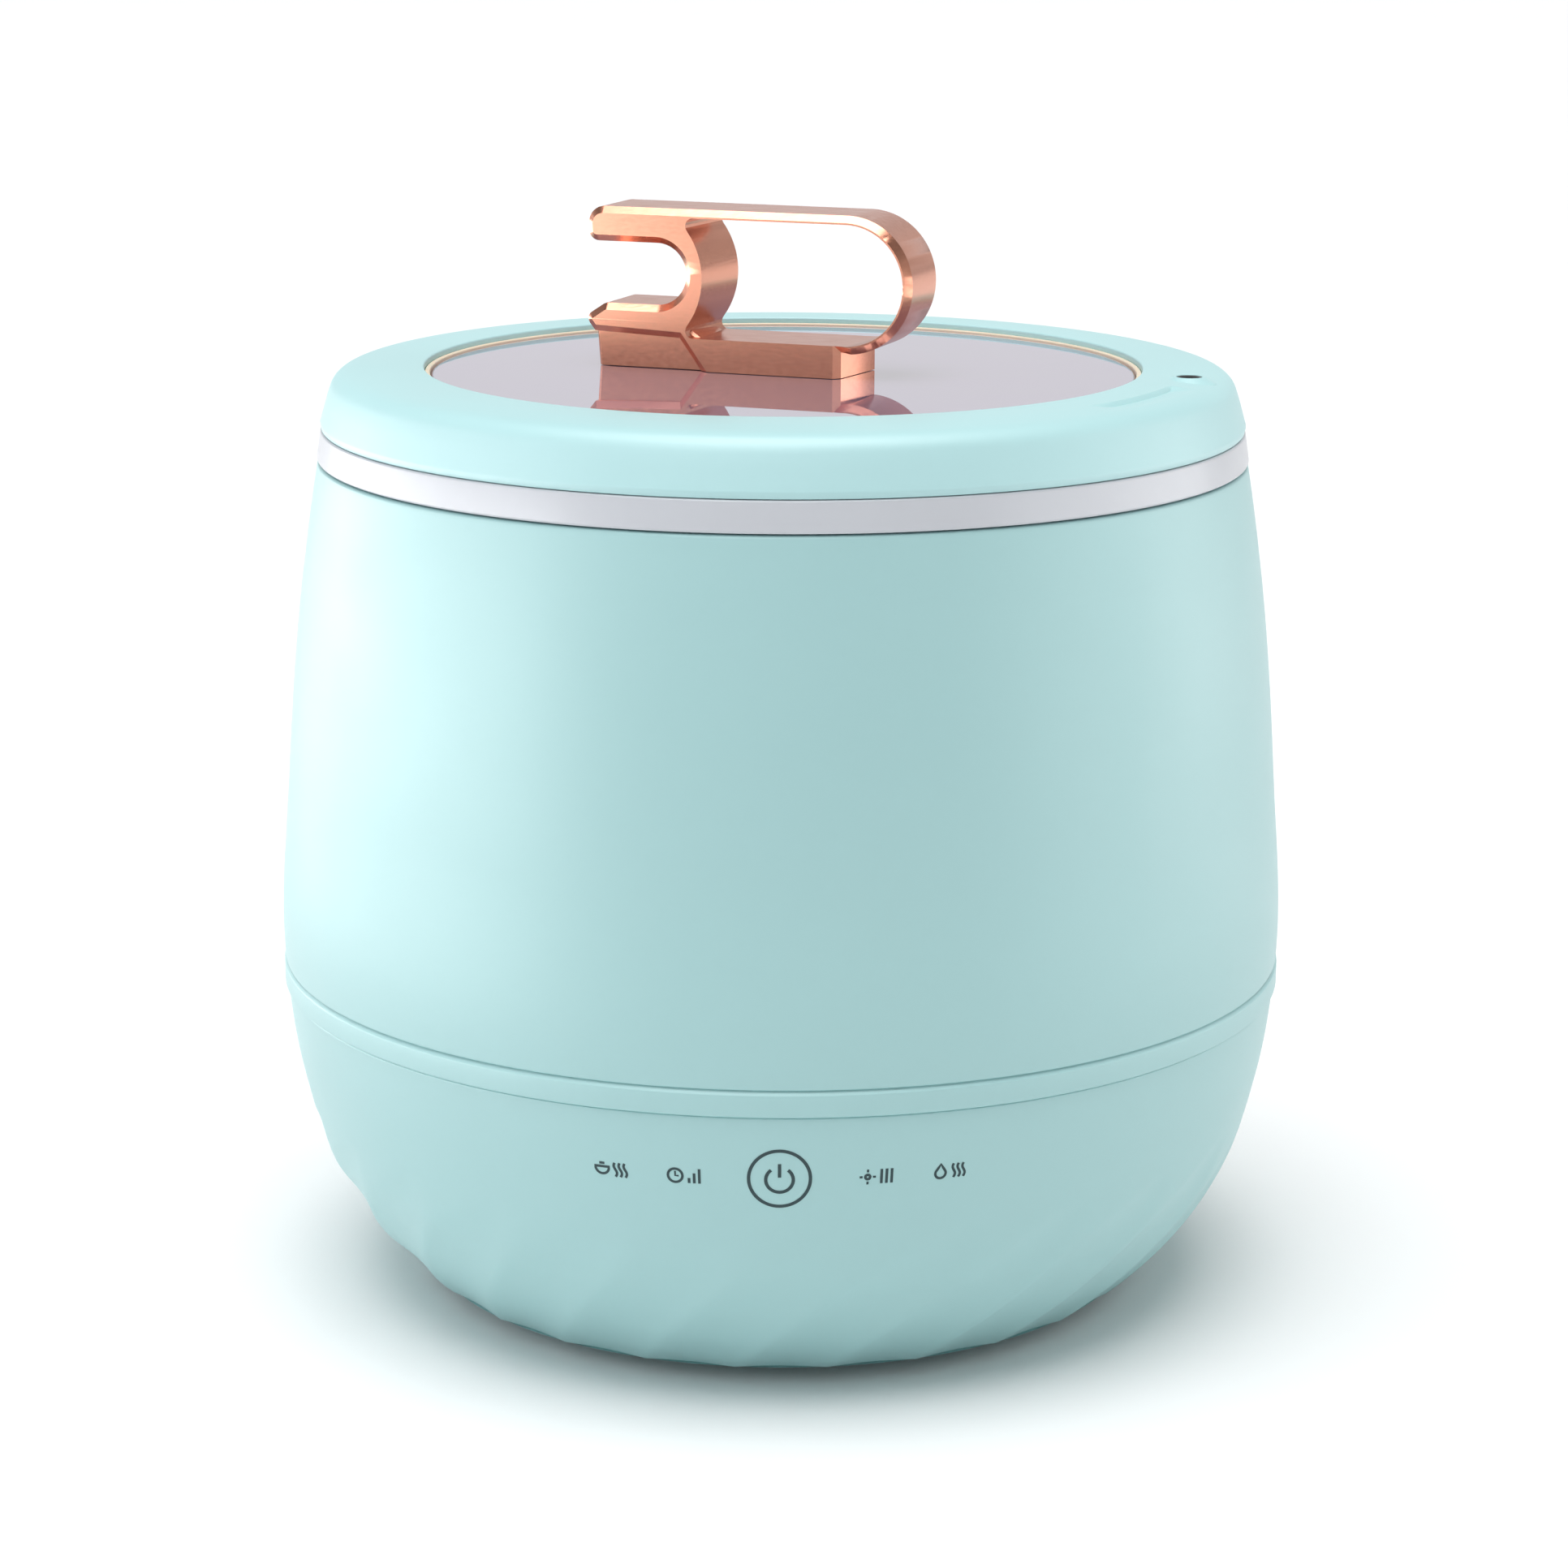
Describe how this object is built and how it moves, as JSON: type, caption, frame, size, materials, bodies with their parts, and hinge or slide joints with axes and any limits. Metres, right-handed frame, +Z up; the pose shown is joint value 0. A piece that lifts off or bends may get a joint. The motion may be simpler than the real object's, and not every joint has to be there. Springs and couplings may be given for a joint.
{
  "type": "slow cooker",
  "caption": "Compact round slow cooker: mint housing on feet, lift-out glazed crock, glass lid with a copper-coloured loop handle.",
  "frame": {"origin": "on the table under the middle of the body", "axes": "+Z up, controls on the -Y side, mains inlet on the +Y side"},
  "size_m": [0.2002, 0.2002, 0.2144],
  "materials": {
    "mint_gloss": "glossy mint moulding",
    "white_glaze": "white glaze",
    "smoked_glass": "dark mirror-like tempered glass",
    "copper_plate": "rose gold plating on a casting",
    "tan_silicone": "tan silicone",
    "clear_silicone": "pale silicone",
    "white_plastic": "satin white",
    "grey_rubber": "matt grey",
    "aluminium": "pressed or cast, satin",
    "steel": "plain",
    "black_plastic": "fine matt",
    "board_green": "solder mask"
  },
  "bodies": {
    "base": {"base_shell": "mint_gloss", "trim_band": "mint_gloss", "outer_shell": "mint_gloss", "bottom_cover": "white_plastic", "control_bracket": "white_plastic", "foot_1": "grey_rubber", "foot_2": "grey_rubber", "foot_3": "grey_rubber", "foot_4": "grey_rubber", "inner_liner": "aluminium", "heating_plate": "aluminium", "heat_shield": "aluminium", "heating_element": "steel", "sensor_bracket": "steel", "thermal_fuse": "steel", "touch_spring_1": "steel", "touch_spring_2": "steel", "touch_spring_3": "steel", "touch_spring_4": "steel", "touch_spring_5": "steel", "cover_screw_1": "steel", "cover_screw_2": "steel", "cover_screw_3": "steel", "cover_screw_4": "steel", "inlet_pin_1": "steel", "inlet_pin_2": "steel", "inlet_pin_3": "steel", "relay": "black_plastic", "transformer": "black_plastic", "capacitor": "black_plastic", "power_inlet": "black_plastic", "power_board": "board_green", "control_board": "board_green"},
    "crock": {"crock": "white_glaze"},
    "lid": {"lid_ring": "mint_gloss", "lid_glass": "smoked_glass", "glass_gasket": "tan_silicone", "lid_bottom_ring": "white_plastic", "lid_seal": "clear_silicone", "lid_handle": "copper_plate", "handle_pad": "clear_silicone", "handle_backplate": "steel", "handle_screw_1": "steel", "handle_screw_2": "steel", "vent_bushing": "clear_silicone"},
    "sensor": {"sensor_cap": "aluminium", "sensor_spring": "steel"}
  },
  "joints": [
    {"name": "crock_lift", "type": "slide", "parent": "base", "child": "crock", "axis": [0, 0, 1], "range_m": [0, 0.16]},
    {"name": "lid_lift", "type": "slide", "parent": "crock", "child": "lid", "axis": [0, 0, 1], "range_m": [0, 0.1]},
    {"name": "sensor_press", "type": "slide", "parent": "base", "child": "sensor", "axis": [0, 0, -1], "range_m": [0, 0.0025], "stiffness_N_per_m": 800, "deforming": ["sensor_spring"]}
  ]
}
